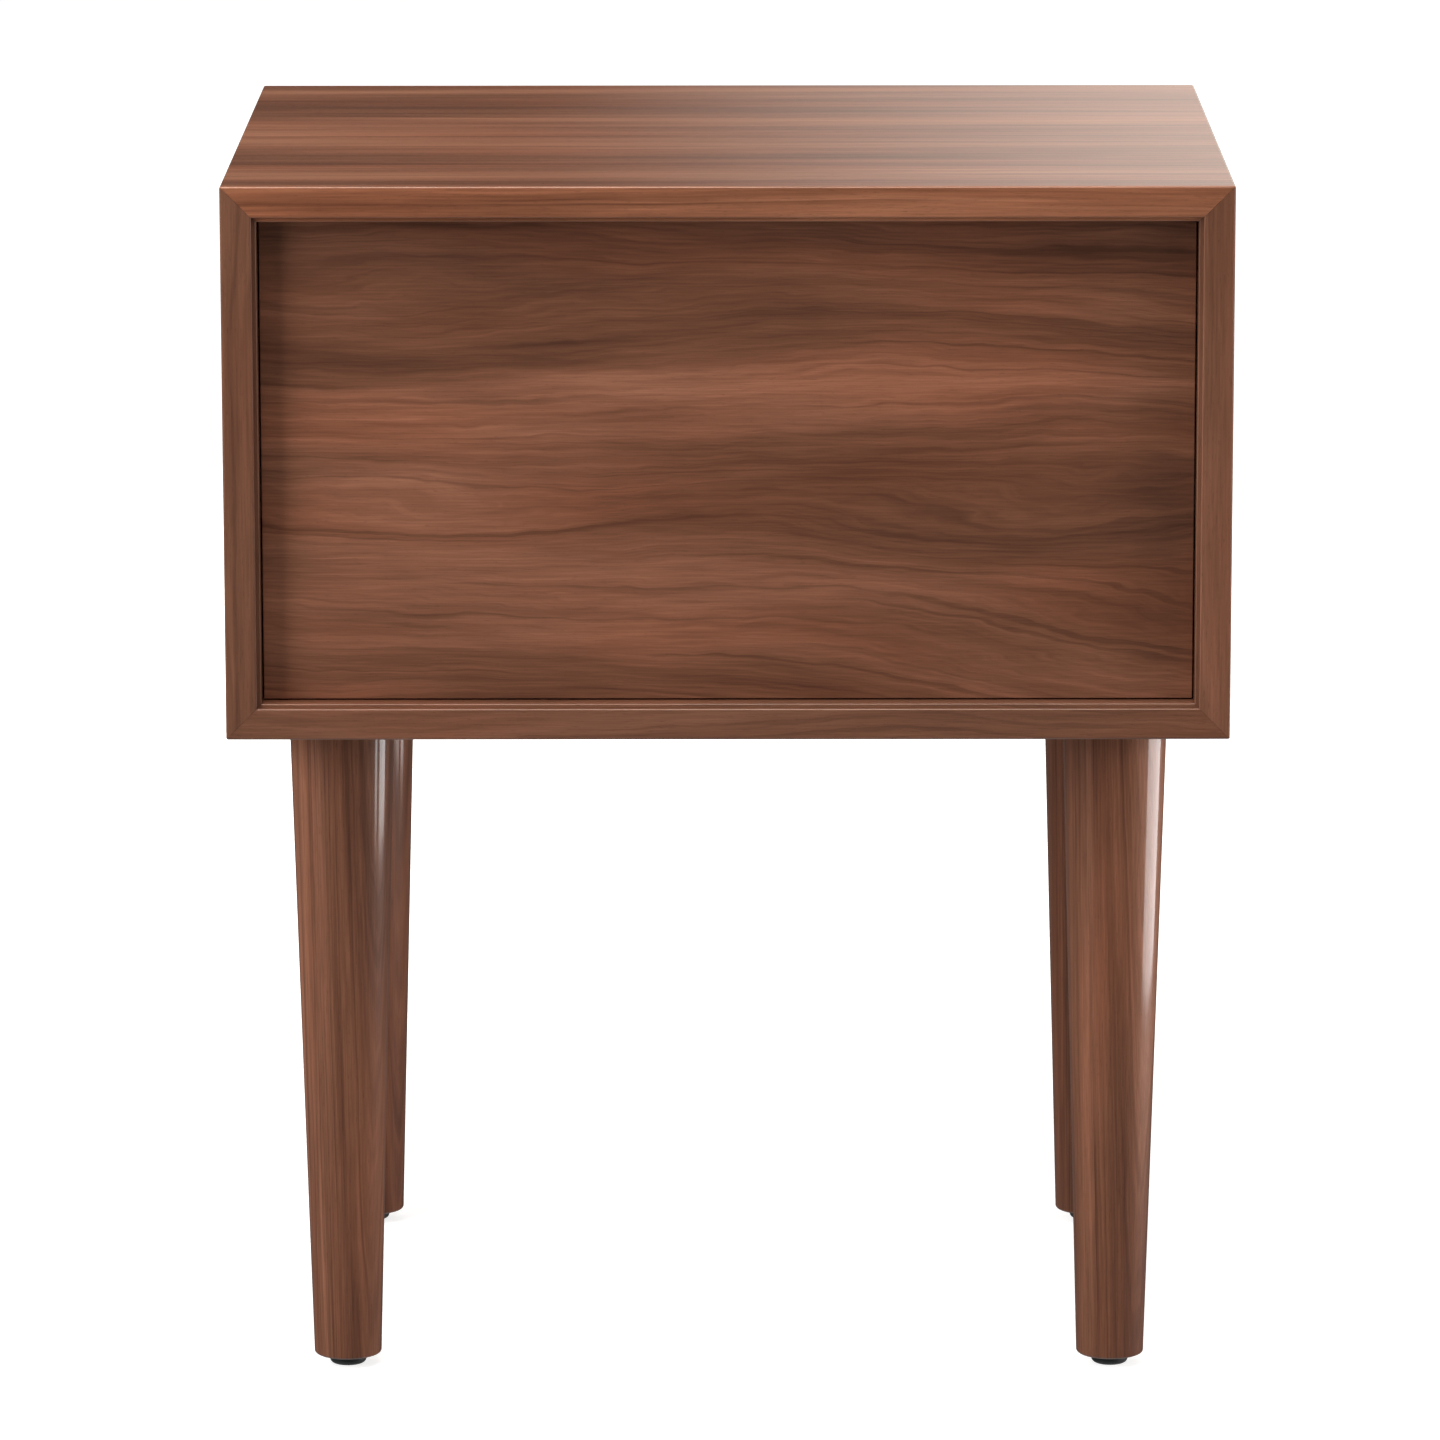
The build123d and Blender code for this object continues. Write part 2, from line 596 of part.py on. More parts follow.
def latch_tip():
    """Rubber-faced magnet on the end of the plunger."""
    tip = rod(TIP_RADIUS, TIP_LENGTH, (0, PLUNGER_FRONT_Y, LATCH_Z), FORWARD)
    return fillet(tip.edges().filter_by(GeomType.CIRCLE), TIP_ROUNDING)


def latch_spring():
    """Coil spring inside the plunger."""
    start_y = LATCH_REAR_Y - LATCH_WALL - 2 * SPRING_WIRE
    end_y = PLUNGER_FRONT_Y + PLUNGER_NOSE + 2 * SPRING_WIRE
    height = start_y - end_y
    coil = Helix(pitch=height / SPRING_TURNS, height=height, radius=SPRING_RADIUS)
    wire = sweep(Plane(origin=coil @ 0, z_dir=coil % 0) * Circle(SPRING_WIRE), path=coil)
    return along(wire, (0, start_y, LATCH_Z), FORWARD)


def latch_holder():
    """Moulded foot that carries the latch above the box floor."""
    width, length, thickness = HOLDER_PLATE
    y = (LATCH_FRONT_Y + LATCH_REAR_Y) / 2
    plate = block(-width / 2, width / 2, y - length / 2, y + length / 2, FLOOR_Z, FLOOR_Z + thickness)
    plate = fillet(plate.edges().filter_by(Axis.Z), HOLDER_FILLET)
    ring_radius = LATCH_RADIUS + HOLE_PLAY + HOLDER_RING
    rib = block(-HOLDER_RIB / 2, HOLDER_RIB / 2, y - length / 2, y + length / 2, FLOOR_Z, LATCH_Z)
    body = plate + rib + rod(ring_radius, length, (0, y + length / 2, LATCH_Z), FORWARD)
    body -= rod(LATCH_RADIUS + HOLE_PLAY, LATCH_LENGTH, (0, LATCH_REAR_Y, LATCH_Z), FORWARD)
    for start in holder_screw_starts():
        body -= screw_hole(HOLDER_SCREW, start, DOWN)
    return body


def strike_plate():
    """Steel disc on the back of the drawer that the latch holds."""
    disc = rod(STRIKE_RADIUS, STRIKE_THICKNESS, (0, DRAWER_REAR_Y, LATCH_Z), BACKWARD)
    disc -= screw_hole(STRIKE_SCREW, strike_screw_start(), FORWARD)
    sink = STRIKE_SCREW["head"] + HOLE_PLAY
    return disc - rod(sink, STRIKE_SCREW["head_height"], (0, STRIKE_FACE_Y, LATCH_Z), FORWARD)


# ---- all nodes ----
def all_nodes():
    """Every node of the table by name."""
    nodes = boards()
    nodes["mitre_splines"] = group(mitre_splines())
    nodes["back_panel"] = back_panel()
    nodes["back_panel_screws"] = group(back_panel_screws())
    places = leg_places()
    for name, place in places.items():
        nodes[name + "_leg"] = leg(*place)
        nodes[name + "_glide"] = glide(*place)
    nodes["leg_hanger_bolts"] = group(hanger_bolt(*place) for place in places.values())
    nodes["leg_insert_nuts"] = group(insert_nut(*place) for place in places.values())
    nodes["glide_nails"] = group(glide_nail(*place) for place in places.values())
    nodes["drawer_front"] = drawer_front()
    nodes["drawer_front_screws"] = group(screw(WOOD_SCREW, start, FORWARD) for start in front_screw_starts())
    nodes.update(drawer_boards())
    nodes["drawer_dowels"] = group(drawer_dowels())
    nodes.update(slide_parts())
    nodes["slide_cabinet_screws"] = group(slide_screws(SLIDE_SCREW, WALL_X - SHEET, 1))
    nodes["slide_drawer_screws"] = group(slide_screws(DRAWER_SLIDE_SCREW, DRAWER_X + SHEET, -1))
    nodes["push_latch_housing"] = latch_housing()
    nodes["push_latch_holder"] = latch_holder()
    nodes["push_latch_plunger"] = latch_plunger()
    nodes["push_latch_tip"] = latch_tip()
    nodes["push_latch_spring"] = latch_spring()
    nodes["push_latch_screws"] = group(screw(HOLDER_SCREW, start, DOWN) for start in holder_screw_starts())
    nodes["strike_plate"] = strike_plate()
    nodes["strike_plate_screw"] = screw(STRIKE_SCREW, strike_screw_start(), FORWARD)
    return nodes


os.makedirs("parts", exist_ok=True)
for node_name, node_shape in all_nodes().items():
    export_step(node_shape, f"parts/{node_name}.step")
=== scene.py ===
import math

import bpy
from mathutils import Matrix, Vector


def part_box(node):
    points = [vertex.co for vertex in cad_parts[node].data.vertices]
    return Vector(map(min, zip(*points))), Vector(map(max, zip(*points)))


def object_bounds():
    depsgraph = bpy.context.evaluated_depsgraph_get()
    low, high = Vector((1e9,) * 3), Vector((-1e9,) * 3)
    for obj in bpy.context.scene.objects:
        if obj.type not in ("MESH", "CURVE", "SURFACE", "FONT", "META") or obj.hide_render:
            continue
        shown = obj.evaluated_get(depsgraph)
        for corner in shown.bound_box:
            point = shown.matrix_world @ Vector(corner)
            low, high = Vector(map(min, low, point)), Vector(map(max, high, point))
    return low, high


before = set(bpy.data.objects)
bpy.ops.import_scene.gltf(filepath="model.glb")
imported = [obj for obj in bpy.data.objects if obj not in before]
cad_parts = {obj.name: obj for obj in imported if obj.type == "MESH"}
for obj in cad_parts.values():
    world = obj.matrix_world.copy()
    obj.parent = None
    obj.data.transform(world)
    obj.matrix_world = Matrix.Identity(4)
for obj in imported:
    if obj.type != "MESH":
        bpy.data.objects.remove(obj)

# Looks of the side table: lacquered walnut, pale drawer wood, hardware, floor, lights and camera.
# Metres, in the model's own frame: +Z up, the drawer front faces -Y, the origin is on the floor.

CAD_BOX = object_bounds()
MM = 0.001

# ---- camera ----
CAMERA_DISTANCE = 4.203        # in front of the box's front edge
CAMERA_RISE = 0.578            # above the tabletop
CAMERA_SIDE = 0.0068
CAMERA_PITCH = 11.43           # degrees below the horizon
CAMERA_YAW = 0.148
CAMERA_ROLL = -0.07
CAMERA_LENS = 212.0
CAMERA_SENSOR = 36.0

# ---- light ----
WALL_LIGHT = 0.02
CEILING_LIGHT = 0.70
FLOOR_REACH = 6.0
FLOOR_GLOW_REACH = (0.3, 1.6)  # distances from the middle between which the floor's glow grows
FLOOR_GLOW = (0.75, 1.0)
WHITE_LIGHT = (1.0, 1.0, 1.0)
WARM_LIGHT = (1.0, 0.92, 0.84)

# ---- grain directions: the rotation that brings a board's grain to local X ----
GRAIN_TURNS = {
    "X": (0.0, 0.0, 0.0),
    "Y": (0.0, 0.0, math.radians(-90.0)),
    "Z": (0.0, math.radians(90.0), 0.0),
}


# ---- node building ----
class Graph:
    """Short calls for building one material's node tree."""

    def __init__(self, name):
        self.material = bpy.data.materials.new(name)
        self.material.use_nodes = True
        self.tree = self.material.node_tree
        self.shader = self.tree.nodes["Principled BSDF"]

    def add(self, kind, inputs=None, **settings):
        """New node, with its settings and its inputs filled or linked."""
        node = self.tree.nodes.new(kind)
        for key, value in settings.items():
            setattr(node, key, value)
        for key, value in (inputs or {}).items():
            self.feed(node.inputs[key], value)
        return node

    def feed(self, socket, value):
        """Links a socket to another node's output, or sets its value."""
        if isinstance(value, bpy.types.NodeSocket):
            self.tree.links.new(value, socket)
        else:
            socket.default_value = value

    def place(self, turn=(0.0, 0.0, 0.0), shift=(0.0, 0.0, 0.0)):
        """Point on the piece at rest, turned so that the grain runs along X."""
        raw = self.add("ShaderNodeTexCoord").outputs["Object"]
        mapping = self.add("ShaderNodeMapping", {"Vector": raw, "Rotation": turn, "Location": shift})
        return mapping.outputs[0]

    def parts(self, vector):
        """The three components of a vector."""
        return self.add("ShaderNodeSeparateXYZ", {0: vector}).outputs

    def calc(self, operation, first, second=0.0, third=0.0):
        """One arithmetic step."""
        return self.add("ShaderNodeMath", {0: first, 1: second, 2: third}, operation=operation).outputs[0]

    def stretched(self, vector, lengths):
        """The vector measured in the given lengths along its three axes."""
        scale = tuple(1.0 / length for length in lengths)
        node = self.add("ShaderNodeVectorMath", {0: vector, 1: scale}, operation="MULTIPLY")
        return node.outputs[0]

    def noise(self, vector, lengths, detail=2.0, roughness=0.5):
        """Noise whose grains have the given lengths along the three axes, from 0 to 1."""
        inputs = {"Vector": self.stretched(vector, lengths), "Scale": 1.0, "Detail": detail,
                  "Roughness": roughness}
        return self.add("ShaderNodeTexNoise", inputs).outputs["Fac"]

    def centred(self, value, size):
        """A value from 0 to 1 turned into one from minus half of size to plus half of size."""
        return self.calc("MULTIPLY_ADD", value, size, -size / 2)

    def remap(self, value, low, high, to_low=0.0, to_high=1.0):
        """The value's stretch from low to high laid smoothly over to_low to to_high."""
        node = self.add("ShaderNodeMapRange", {"Value": value, "From Min": low, "From Max": high,
                                               "To Min": to_low, "To Max": to_high},
                        interpolation_type="SMOOTHSTEP")
        return node.outputs["Result"]

    def ramp(self, value, stops):
        """Colours blended along a value."""
        node = self.add("ShaderNodeValToRGB", {"Fac": value})
        elements = node.color_ramp.elements
        while len(elements) < len(stops):
            elements.new(0.5)
        for element, (position, colour) in zip(elements, stops):
            element.position = position
            element.color = (*colour, 1.0)
        return node.outputs["Color"]

    def mix(self, share, first, second, blend="MIX"):
        """Two colours mixed."""
        node = self.add("ShaderNodeMix", data_type="RGBA", blend_type=blend)
        self.feed(node.inputs[0], share)
        self.feed(node.inputs[6], first)
        self.feed(node.inputs[7], second)
        return node.outputs[2]

    def grey(self, value):
        """The value as a grey colour."""
        return self.add("ShaderNodeCombineColor", {0: value, 1: value, 2: value}).outputs[0]

    def bump(self, height, distance, strength=1.0):
        """Feeds the shader's normal from a height."""
        node = self.add("ShaderNodeBump", {"Height": height, "Distance": distance, "Strength": strength})
        self.feed(self.shader.inputs["Normal"], node.outputs[0])

    def surface(self, **values):
        """Sets or links the shader's own inputs; underscores stand for spaces."""
        for name, value in values.items():
            self.feed(self.shader.inputs[name.replace("_", " ")], value)


# ---- wood ----
SMALL_BEND_REACH = 0.28        # the small bends' size, as a share of the slow ones'
SMALL_BEND_HEIGHT = 0.30
STREAK_TONE = 1.05             # how strongly each layer of figure changes the tone
BROAD_TONE = 0.95
FINE_TONE = 0.60
VEIN_SHARE = 0.34              # how dark the thin lines over the figure are
HAIR_SHARE = 0.34
PORE_SHARE = 0.25
VEIN_SHADE = 0.55              # their colours, as shares of the dark tone
HAIR_SHADE = 0.60
PORE_SHADE = 0.40
RED_SHARE = 0.5
RED_TINT = (1.10, 0.94, 0.86, 1.0)
FIBRE_SIZE = (0.035, 0.0009, 0.0009)
PORE_SIZE = (0.005, 0.0004, 0.0004)
GRAIN_RELIEF = 0.06 * MM
GRAIN_BUMP = 0.5
LACQUER_SPECULAR = 0.2
LACQUER_ROUGHNESS = 0.10
# Painted shade: how much darker the legs are made at the foot, and the height over which it fades out.
LEG_PAINTED_SHADE = 0.20
LEG_PAINTED_SHADE_HEIGHT = 0.30
FRONT_PAINTED_SHADE_SLOPE = -0.45      # painted shade: tone lost per metre to the right


def shaded(colour, share):
    """A colour darkened to a share of itself, with its alpha."""
    return (*[part * share for part in colour], 1.0)


def eye(g, point, centre, size, height):
    """A smooth hump in the ring count, which closes the grain lines round its centre."""
    offset = g.add("ShaderNodeVectorMath", {0: point, 1: centre}, operation="SUBTRACT").outputs[0]
    offset = g.stretched(offset, size)
    square = g.add("ShaderNodeVectorMath", {0: offset, 1: offset}, operation="DOT_PRODUCT").outputs["Value"]
    return g.calc("MULTIPLY", g.calc("EXPONENT", g.calc("MULTIPLY", square, -1.0)), height)


def wood(name, grain, tones, across=(0.6, 1.0), warp=(0.40, 0.07, 0.040), band=0.012, run=0.25,
         contrast=1.0, shift=(0.0, 0.0, 0.0), eyes=(), zones_and_painted_shade=None, gloss=0.42, coat=0.75):
    """Lacquered wood.

    tones are the dark, middle and light colours. across says how the growth rings count over the two
    directions across the grain, and warp is the length, width and height of the slow bends in them.
    band is the width of one streak, and run its length. eyes are humps in the ring count. The function given
    for zones and painted shade adds tone over the grain: broad light and dark bands of a board, and painted
    shade that darkens a board to one side or towards one end.
    """
    g = Graph(name)
    point = g.place(GRAIN_TURNS[grain], shift)
    along, left, up = g.parts(point)
    rings = g.calc("ADD", g.calc("MULTIPLY", left, across[0]), g.calc("MULTIPLY", up, across[1]))
    length, width, height = warp
    slow = g.noise(point, (length, width, width), detail=1.0)
    small_size = (length * SMALL_BEND_REACH, width * SMALL_BEND_REACH, width * SMALL_BEND_REACH)
    small = g.noise(point, small_size, detail=3.0, roughness=0.6)
    rings = g.calc("ADD", rings, g.centred(slow, height))
    rings = g.calc("ADD", rings, g.centred(small, height * SMALL_BEND_HEIGHT))
    for centre, size, rise in eyes:
        rings = g.calc("ADD", rings, eye(g, point, centre, size, rise))
    plane = g.add("ShaderNodeCombineXYZ", {0: along, 1: rings, 2: 0.0}).outputs[0]

    streaks = g.noise(plane, (run, band, 1.0), detail=5.0, roughness=0.62)
    broad = g.noise(plane, (run * 1.6, band * 4.5, 1.0))
    fine = g.noise(plane, (run * 0.5, band * 0.16, 1.0), detail=3.0, roughness=0.65)
    tone = g.calc("ADD", g.centred(streaks, STREAK_TONE * contrast), g.centred(broad, BROAD_TONE * contrast))
    tone = g.calc("ADD", tone, g.centred(fine, FINE_TONE * contrast))
    # Broad light and dark bands of the board, and painted shade, where a function for them is given.
    if zones_and_painted_shade:
        tone = g.calc("ADD", tone, zones_and_painted_shade(g, along, rings))
    tone = g.calc("ADD", tone, 0.5)
    dark, middle, light = tones
    colour = g.ramp(tone, [(0.08, dark), (0.5, middle), (0.92, light)])

    veins = g.noise(plane, (run * 2.0, band * 0.50, 1.0), roughness=0.6)
    hairs = g.noise(plane, (run * 2.4, band * 0.20, 1.0), detail=1.0)
    vein_share = g.calc("MULTIPLY", g.remap(veins, 0.56, 0.74), VEIN_SHARE * contrast)
    hair_share = g.calc("MULTIPLY", g.remap(hairs, 0.58, 0.70), HAIR_SHARE * contrast)
    colour = g.mix(vein_share, colour, shaded(dark, VEIN_SHADE))
    colour = g.mix(hair_share, colour, shaded(dark, HAIR_SHADE))
    red = g.remap(g.noise(plane, (run, band * 2.5, 1.0), detail=1.0), 0.40, 0.70, 0.0, RED_SHARE)
    colour = g.mix(red, colour, RED_TINT, "MULTIPLY")
    fibres = g.noise(point, FIBRE_SIZE, detail=3.0, roughness=0.6)
    colour = g.mix(1.0, colour, g.grey(g.remap(fibres, 0.25, 0.75, 0.86, 1.12)), "MULTIPLY")
    pores = g.remap(g.noise(point, PORE_SIZE, detail=1.0), 0.64, 0.72)
    pore_share = g.calc("MULTIPLY", pores, PORE_SHARE)
    colour = g.mix(pore_share, colour, shaded(dark, PORE_SHADE))

    roughness = g.calc("ADD", g.centred(fine, -0.12), g.centred(fibres, -0.10))
    g.surface(Base_Color=colour, Roughness=g.calc("ADD", roughness, gloss),
              Specular_IOR_Level=LACQUER_SPECULAR, Coat_Weight=coat, Coat_Roughness=LACQUER_ROUGHNESS)
    relief = g.calc("SUBTRACT", g.calc("MULTIPLY", fibres, 0.6), pores)
    g.bump(relief, GRAIN_RELIEF, GRAIN_BUMP)
    return g.material


CARCASS_TONES = ((0.076, 0.032, 0.019), (0.168, 0.073, 0.043), (0.275, 0.123, 0.076))
FRONT_TONES = ((0.075, 0.030, 0.017), (0.172, 0.070, 0.039), (0.300, 0.128, 0.076))
TOP_TONES = ((0.112, 0.041, 0.020), (0.250, 0.098, 0.051), (0.400, 0.178, 0.100))
LEG_TONES = ((0.085, 0.033, 0.019), (0.205, 0.085, 0.048), (0.335, 0.140, 0.082))
PALE_TONES = ((0.47, 0.33, 0.20), (0.60, 0.45, 0.29), (0.70, 0.55, 0.38))


def front_zones_and_painted_shade(g, along, rings):
    """Broad light and dark bands of the drawer front, from its bottom edge to its top edge, and painted shade
    that makes it darker to the right.
    """
    low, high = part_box("drawer_front")
    share = g.calc("DIVIDE", g.calc("SUBTRACT", rings, low[2]), high[2] - low[2])
    stops = ((0.0, 0.42), (0.16, 0.66), (0.30, 0.50), (0.45, 0.36), (0.56, 0.54), (0.66, 0.66), (0.74, 0.38),
             (0.84, 0.54), (0.94, 0.44))
    grey = g.ramp(share, [(place, (level, level, level)) for place, level in stops])
    # Painted shade: the front grows darker towards its right end.
    return g.calc("ADD", g.calc("SUBTRACT", grey, 0.5), g.calc("MULTIPLY", along, FRONT_PAINTED_SHADE_SLOPE))


def walnut_top():
    return wood("walnut_top", "X", TOP_TONES, across=(1.0, 0.8), warp=(1.5, 0.20, 0.030), band=0.016,
                run=0.45, contrast=1.35)


def walnut_carcass_level():
    return wood("walnut_carcass_level", "X", CARCASS_TONES, across=(0.7, 1.0), warp=(0.25, 0.05, 0.030),
                shift=(0.3, 0.2, 0.1), contrast=0.7)


def walnut_carcass_upright():
    return wood("walnut_carcass_upright", "Z", CARCASS_TONES, across=(1.0, 0.6), warp=(0.6, 0.10, 0.030),
                band=0.014, shift=(0.1, 0.9, 0.3), contrast=0.7)


def walnut_front():
    eyes = (((-0.135, -0.19, 0.450), (0.095, 1.0, 0.018), 0.015),
            ((0.120, -0.19, 0.445), (0.10, 1.0, 0.018), 0.018),
            ((0.240, -0.19, 0.350), (0.17, 1.0, 0.090), 0.040))
    return wood("walnut_front", "X", FRONT_TONES, across=(0.0, 1.0), warp=(0.34, 0.09, 0.046), band=0.015,
                run=0.22, eyes=eyes, zones_and_painted_shade=front_zones_and_painted_shade)


def leg_painted_shade(g, along, _rings):
    """Painted shade: the legs darken a little towards the foot."""
    return g.remap(along, 0.0, LEG_PAINTED_SHADE_HEIGHT, -LEG_PAINTED_SHADE, 0.0)


def walnut_leg():
    return wood("walnut_leg", "Z", LEG_TONES, across=(0.8, 1.0), warp=(0.9, 0.06, 0.012), band=0.0075,
                run=0.35, contrast=1.1, zones_and_painted_shade=leg_painted_shade)


def pale_wood(grain):
    return wood("pale_wood_" + grain, grain, PALE_TONES, warp=(0.5, 0.08, 0.03), contrast=0.6,
                gloss=0.45, coat=0.05)


# ---- metal, plastic and rubber ----
ZINC_PLACES = (0.25, 0.6, 0.9)
ZINC_TONES = ((0.60, 0.61, 0.62), (0.68, 0.69, 0.69), (0.73, 0.72, 0.70))
ZINC_CLOUD = (0.030, 0.030, 0.030)
ZINC_LINE = (0.0006, 0.04, 0.0006)      # drawing lines run along the slides
ZINC_LINE_DEPTH = 0.02 * MM
ZINC_BUMP = 0.4
SCREW_CLOUD = (0.002, 0.002, 0.002)
SCREW_DARK = (0.022, 0.022, 0.024)
SCREW_LIGHT = (0.055, 0.055, 0.058)
SCREW_RELIEF = 0.03 * MM
SCREW_BUMP = 0.4
MOULDED_CLOUD = (0.02, 0.02, 0.02)
MOULDED_RELIEF = 0.05 * MM
MOULDED_BUMP = 0.5


def zinc_steel():
    """Bright zinc plate with a soft cloudy sheen and fine drawing lines."""
    g = Graph("zinc_steel")
    point = g.place()
    clouds = g.noise(point, ZINC_CLOUD, detail=4.0, roughness=0.6)
    lines = g.noise(point, ZINC_LINE)
    colour = g.ramp(clouds, list(zip(ZINC_PLACES, ZINC_TONES)))
    g.surface(Base_Color=colour, Metallic=1.0, Roughness=g.remap(clouds, 0.2, 0.8, 0.34, 0.44))
    g.bump(lines, ZINC_LINE_DEPTH, ZINC_BUMP)
    return g.material


def black_screw():
    """Black phosphated steel."""
    g = Graph("black_screw")
    clouds = g.noise(g.place(), SCREW_CLOUD, detail=3.0)
    colour = g.ramp(clouds, [(0.3, SCREW_DARK), (0.8, SCREW_LIGHT)])
    g.surface(Base_Color=colour, Metallic=0.6, Roughness=g.remap(clouds, 0.2, 0.8, 0.38, 0.55))
    g.bump(clouds, SCREW_RELIEF, SCREW_BUMP)
    return g.material


def moulded(name, dark, light, roughness, grain_size):
    """Moulded plastic or rubber with a fine leathery texture."""
    g = Graph(name)
    point = g.place()
    clouds = g.noise(point, MOULDED_CLOUD, detail=3.0)
    texture = g.noise(point, (grain_size, grain_size, grain_size))
    colour = g.ramp(clouds, [(0.3, dark), (0.75, light)])
    g.surface(Base_Color=colour, Roughness=g.remap(texture, 0.3, 0.7, roughness - 0.05, roughness + 0.08))
    g.bump(texture, MOULDED_RELIEF, MOULDED_BUMP)
    return g.material


# ---- which node wears which material ----
def dress(material, *names):
    """Gives CAD nodes their material."""
    for name in names:
        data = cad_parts[name].data
        data.materials.clear()
        data.materials.append(material)


def dress_all():
    sides = ("left", "right")
    legs = [f"{end}_{side}" for end in ("front", "rear") for side in sides]
    dress(walnut_top(), "top_panel")
    dress(walnut_carcass_level(), "bottom_panel")
    dress(walnut_carcass_upright(), "left_side_panel", "right_side_panel")
    dress(walnut_front(), "drawer_front", "back_panel")
    dress(walnut_leg(), *[leg + "_leg" for leg in legs])
    dress(pale_wood("X"), "drawer_box_front", "drawer_box_back", "drawer_bottom", "drawer_dowels")
    dress(pale_wood("Y"), "drawer_left_side", "drawer_right_side", "mitre_splines")
    metal = ["leg_hanger_bolts", "leg_insert_nuts", "glide_nails", "slide_cabinet_screws",
             "slide_drawer_screws", "drawer_front_screws", "push_latch_spring", "push_latch_screws",
             "strike_plate", "strike_plate_screw"]
    for side in sides:
        metal += [f"{side}_slide_{member}_member" for member in ("cabinet", "middle", "drawer")]
        metal += [f"{side}_{race}_{piece}" for race in ("outer", "inner") for piece in ("ball_cage", "balls")]
    dress(zinc_steel(), *metal)
    dress(black_screw(), "back_panel_screws")
    dress(moulded("black_glide", (0.012, 0.014, 0.014), (0.030, 0.034, 0.034), 0.42, 0.0006),
          *[leg + "_glide" for leg in legs])
    dress(moulded("grey_plastic", (0.30, 0.31, 0.32), (0.38, 0.39, 0.40), 0.40, 0.0005),
          "push_latch_housing", "push_latch_holder", "push_latch_plunger")
    dress(moulded("rubber_tip", (0.02, 0.02, 0.02), (0.04, 0.04, 0.04), 0.70, 0.0007), "push_latch_tip")


# ---- floor, lights and camera ----
def make_floor():
    """Plain white floor. Only the camera sees it, so that it throws no light back on the wood."""
    mesh = bpy.data.meshes.new("floor")
    signs = ((-1, -1), (1, -1), (1, 1), (-1, 1))
    corners = [(x * FLOOR_REACH, y * FLOOR_REACH, 0.0) for x, y in signs]
    mesh.from_pydata(corners, [], [(0, 1, 2, 3)])
    floor = bpy.data.objects.new("floor", mesh)
    bpy.context.scene.collection.objects.link(floor)
    g = Graph("white_floor")
    distance = g.add("ShaderNodeVectorMath", {0: g.place()}, operation="LENGTH").outputs["Value"]
    glow = g.remap(distance, *FLOOR_GLOW_REACH, *FLOOR_GLOW)
    g.surface(Base_Color=(0.5, 0.5, 0.5, 1.0), Roughness=1.0, Specular_IOR_Level=0.0,
              Emission_Color=(1.0, 1.0, 1.0, 1.0), Emission_Strength=glow)
    mesh.materials.append(g.material)
    floor.visible_glossy = False
    floor.visible_diffuse = False
    floor.visible_shadow = False


def make_light(name, place, target, size, power, roll=0.0, fade=None, card=False, fill=False,
               colour=WHITE_LIGHT):
    """Rectangular soft light that looks from place at target.

    It may fade in over its width. A card is seen only in reflections, and a fill light in none.
    """
    data = bpy.data.lights.new(name, "AREA")
    data.shape = "RECTANGLE"
    data.size, data.size_y = size
    data.energy = power
    data.color = colour
    if fade:
        fade_light(data, fade)
    light = bpy.data.objects.new(name, data)
    look = (Vector(target) - Vector(place)).to_track_quat("-Z", "Y").to_matrix().to_4x4()
    light.matrix_world = Matrix.Translation(place) @ look @ Matrix.Rotation(math.radians(roll), 4, "Z")
    light.visible_camera = False
    light.visible_diffuse = not card
    light.visible_glossy = not fill
    bpy.context.scene.collection.objects.link(light)


def fade_light(data, fade):
    """Lets a light's strength grow over its width, between two shares of it."""
    data.use_nodes = True
    tree = data.node_tree
    where = tree.nodes.new("ShaderNodeNewGeometry")
    split = tree.nodes.new("ShaderNodeSeparateXYZ")
    level = tree.nodes.new("ShaderNodeMapRange")
    level.interpolation_type = "SMOOTHSTEP"
    level.inputs["From Min"].default_value = fade[0]
    level.inputs["From Max"].default_value = fade[1]
    tree.links.new(where.outputs["Parametric"], split.inputs[0])
    tree.links.new(split.outputs[0], level.inputs["Value"])
    tree.links.new(level.outputs["Result"], tree.nodes["Emission"].inputs["Strength"])


def make_world():
    """White to the camera, and to the table a dim room with a paler floor and ceiling."""
    world = bpy.context.scene.world or bpy.data.worlds.new("studio")
    bpy.context.scene.world = world
    world.use_nodes = True
    tree = world.node_tree
    room = tree.nodes["Background"]
    room.inputs["Color"].default_value = (1.0, 1.0, 1.0, 1.0)
    where = tree.nodes.new("ShaderNodeTexCoord")
    split = tree.nodes.new("ShaderNodeSeparateXYZ")
    slope = tree.nodes.new("ShaderNodeMath")
    slope.operation = "MULTIPLY"
    level = tree.nodes.new("ShaderNodeMapRange")
    level.inputs["To Min"].default_value = WALL_LIGHT
    level.inputs["To Max"].default_value = CEILING_LIGHT
    tree.links.new(where.outputs["Generated"], split.inputs[0])
    tree.links.new(split.outputs[2], slope.inputs[0])
    tree.links.new(split.outputs[2], slope.inputs[1])
    tree.links.new(slope.outputs[0], level.inputs["Value"])
    tree.links.new(level.outputs["Result"], room.inputs["Strength"])
    backdrop = tree.nodes.new("ShaderNodeBackground")
    backdrop.inputs["Color"].default_value = (1.0, 1.0, 1.0, 1.0)
    path = tree.nodes.new("ShaderNodeLightPath")
    mix = tree.nodes.new("ShaderNodeMixShader")
    tree.links.new(path.outputs["Is Camera Ray"], mix.inputs[0])
    tree.links.new(room.outputs[0], mix.inputs[1])
    tree.links.new(backdrop.outputs[0], mix.inputs[2])
    tree.links.new(mix.outputs[0], tree.nodes["World Output"].inputs[0])


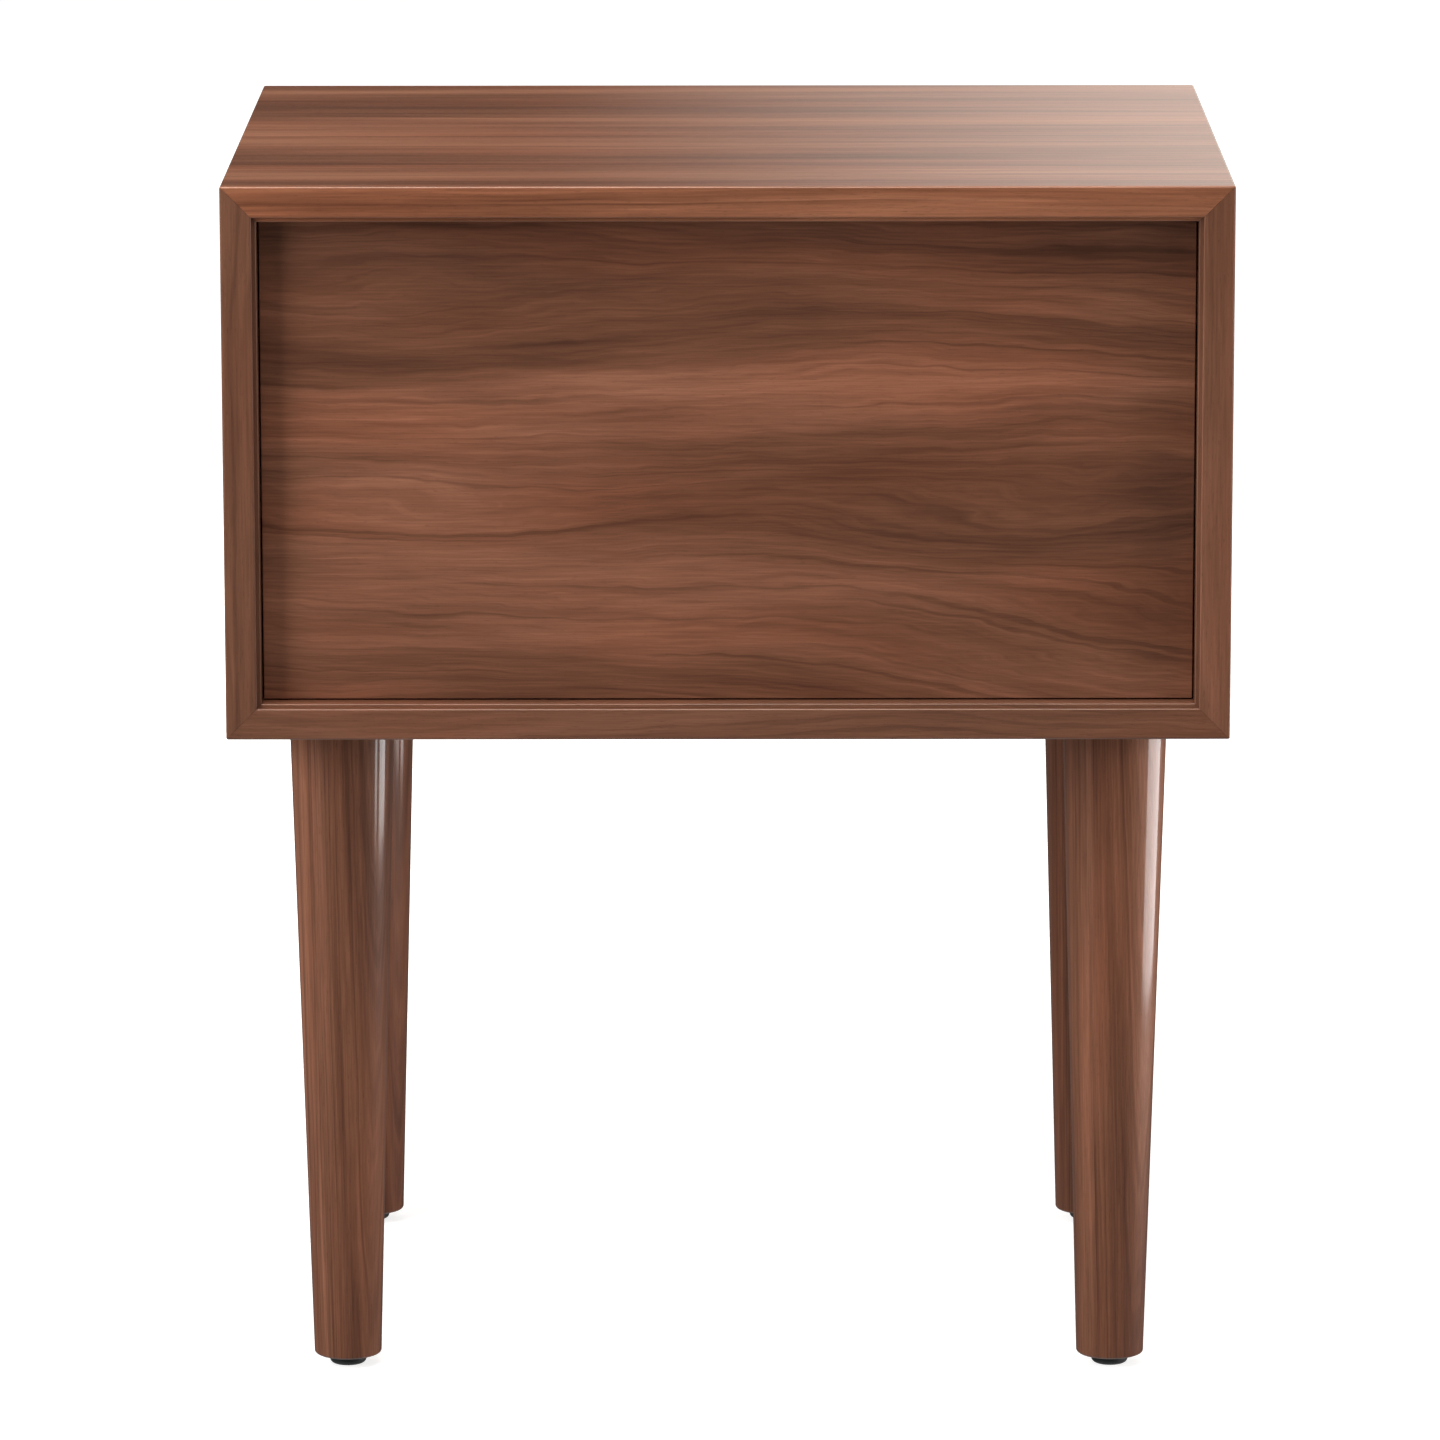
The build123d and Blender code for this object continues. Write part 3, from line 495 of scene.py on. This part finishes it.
def make_lights():
    """Soft boxes overhead and right, fills for the wood's own colour, and cards for its shine."""
    middle = (0.0, 0.0, 0.45)
    left = {"place": (-2.2, -1.15, 0.95), "target": middle, "size": (1.4, 1.9)}
    make_light("left_fill", **left, power=78.0, fill=True)
    make_light("left_card", **left, power=16.0, card=True)
    make_light("overhead_box", place=(-0.3, -0.70, 2.60), target=middle, size=(1.6, 1.2), power=52.0,
               colour=WARM_LIGHT)
    make_light("right_box", place=(2.1, -1.25, 0.65), target=middle, size=(0.8, 1.3), power=8.0)
    make_light("right_fill", place=(1.8, -0.25, 0.35), target=(0.0, 0.0, 0.25), size=(1.2, 1.2), power=32.0,
               fill=True, colour=WARM_LIGHT)
    make_light("rear_fill", place=(-0.9, 2.2, 0.95), target=(0.0, 0.2, 0.45), size=(1.6, 1.4), power=40.0,
               fill=True, colour=WARM_LIGHT)
    make_light("right_card", place=(1.30, 0.10, 0.015), target=(0.0, 0.02, 0.015), size=(0.9, 0.24),
               power=4.4, card=True)
    make_light("rear_card", place=(0.30, 1.50, 0.92), target=(0.10, 0.0, 0.62), size=(1.2, 0.6), power=2.4,
               roll=28.0, fade=(0.85, 0.30), card=True, colour=WARM_LIGHT)


def make_camera():
    """Long-lens camera in front of the drawer, a little above the tabletop."""
    data = bpy.data.cameras.new("camera")
    data.sensor_width = CAMERA_SENSOR
    data.lens = CAMERA_LENS
    camera = bpy.data.objects.new("camera", data)
    low, high = CAD_BOX
    place = Vector((CAMERA_SIDE, low.y - CAMERA_DISTANCE, high.z + CAMERA_RISE))
    turn = Matrix.Rotation(math.radians(CAMERA_YAW), 4, "Z")
    turn @= Matrix.Rotation(math.radians(90.0 - CAMERA_PITCH), 4, "X")
    turn @= Matrix.Rotation(math.radians(CAMERA_ROLL), 4, "Z")
    camera.matrix_world = Matrix.Translation(place) @ turn
    bpy.context.scene.collection.objects.link(camera)
    bpy.context.scene.camera = camera


bpy.context.scene.view_settings.view_transform = "Standard"
make_camera()
make_floor()
make_world()
make_lights()
dress_all()
